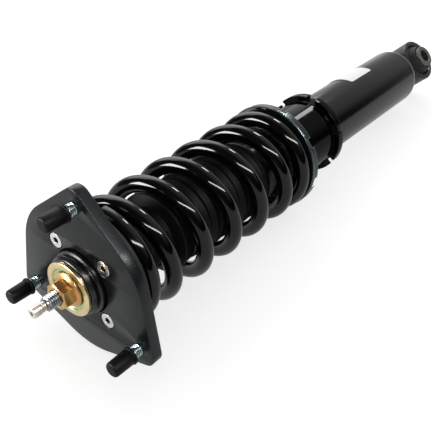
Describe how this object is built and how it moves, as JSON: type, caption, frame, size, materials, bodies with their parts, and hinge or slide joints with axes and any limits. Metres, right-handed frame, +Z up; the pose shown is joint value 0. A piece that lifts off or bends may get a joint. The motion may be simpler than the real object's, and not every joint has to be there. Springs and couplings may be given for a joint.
{
  "type": "coilover strut",
  "caption": "Height-adjustable coil spring and damper strut with a lobed top mount, threaded spring seat, lower eye and damping adjuster.",
  "frame": {"origin": "centre of the footprint, on the surface that the strut lies on", "axes": "+X along the strut from the top mount to the lower eye, level; +Z up; the strut's own axis dips 3 degrees towards the eye, because it lies on the edge of its top plate and on the rim of its spring seat"},
  "size_m": [0.5168, 0.1218, 0.1237],
  "materials": {
    "plate_anodised": "satin dark anodised",
    "stud_steel": "bright plated thread",
    "cap_rubber": "soft matte black",
    "screw_nickel": "bright nickel plated",
    "housing_anodised": "satin black anodised",
    "pad_plastic": "matte black",
    "bush_rubber": "moulded black rubber with a soft sheen",
    "inner_steel": "machined",
    "washer_zinc": "pale iridescent yellow zinc",
    "nut_zinc": "deep yellow zinc",
    "rod_steel": "ground and hard chromed, cut thread at the nose",
    "adjuster_nickel": "pale warm nickel",
    "needle_steel": "ground",
    "bump_foam": "matte foam rubber",
    "boot_rubber": "matte moulded rubber",
    "spring_paint": "gloss black coating",
    "seat_anodised": "satin grey with a teal tint",
    "sleeve_gloss": "gloss black",
    "tube_black": "satin black coating",
    "seal_rubber": "smooth black",
    "inner_aluminium": "machined",
    "band_plastic": "brown low-friction band",
    "eye_black": "satin dark grey coating",
    "eye_rubber": "matte black",
    "eye_steel": "zinc plated",
    "label_white": "plain white film"
  },
  "bodies": {
    "damper_body": {"damper_tube": "tube_black", "gland_nut": "inner_steel", "rod_seal": "seal_rubber", "rod_guide": "inner_aluminium", "floating_piston": "inner_aluminium", "floating_piston_ring": "seal_rubber", "lower_eye": "eye_black", "eye_bush": "eye_rubber", "body_label": "label_white"},
    "piston_slider": {"piston_band": "band_plastic"},
    "rod_and_mount": {"piston_rod": "rod_steel", "damping_piston": "inner_aluminium", "piston_nut": "inner_steel", "top_washer": "washer_zinc", "lower_washer": "inner_steel", "rod_nut": "nut_zinc", "bush_sleeve": "inner_steel", "mount_bush": "bush_rubber", "bush_housing": "housing_anodised", "upper_spring_pad": "pad_plastic", "top_plate": "plate_anodised", "mount_stud_1": "stud_steel", "mount_stud_2": "stud_steel", "mount_stud_3": "stud_steel", "stud_cap_1": "cap_rubber", "stud_cap_2": "cap_rubber", "stud_cap_3": "cap_rubber", "plate_screw_1": "screw_nickel", "plate_screw_2": "screw_nickel", "plate_screw_3": "screw_nickel", "plate_screw_4": "screw_nickel", "bump_stop": "bump_foam", "dust_boot": "boot_rubber"},
    "damping_dial": {"damping_adjuster": "adjuster_nickel", "adjuster_needle": "needle_steel"},
    "spring_seat": {"spring_seat_ring": "seat_anodised", "coil_spring": "spring_paint"},
    "height_adjuster": {"adjuster_sleeve": "sleeve_gloss"},
    "eye_core": {"eye_sleeve": "eye_steel"}
  },
  "joints": [
    {"name": "damper_stroke", "type": "slide", "parent": "damper_body", "child": "piston_slider", "axis": [0.9986, 0, -0.0526], "range_m": [0, 0.07], "stiffness_N_per_m": 60000, "springref_m": -0.002, "deforming": ["coil_spring", "dust_boot"]},
    {"name": "rod_turn", "type": "hinge", "parent": "piston_slider", "child": "rod_and_mount", "pos_m": [-0.21908, 0, 0.05482], "axis": [0.9986, 0, -0.0526], "continuous": true},
    {"name": "adjuster_turn", "type": "hinge", "parent": "rod_and_mount", "child": "damping_dial", "pos_m": [-0.21908, 0, 0.05482], "axis": [-0.9986, 0, 0.0526], "range_deg": [-360, 360]},
    {"name": "seat_slide", "type": "slide", "parent": "damper_body", "child": "spring_seat", "axis": [-0.9986, 0, 0.0526], "range_m": [0, 0.0202], "deforming": ["coil_spring"]},
    {"name": "seat_turn", "type": "hinge", "parent": "spring_seat", "child": "height_adjuster", "pos_m": [-0.21908, 0, 0.05482], "axis": [-0.9986, 0, 0.0526], "range_deg": [0, 3600]},
    {"name": "eye_twist", "type": "hinge", "parent": "damper_body", "child": "eye_core", "pos_m": [0.23648, 0, 0.03081], "axis": [0.0372, -0.7071, 0.7061], "range_deg": [-15, 15], "stiffness_Nm_per_rad": 60}
  ],
  "couplings": [
    {"joint": "seat_slide", "follows": "seat_turn", "m_per_rad": 0.00031831}
  ]
}
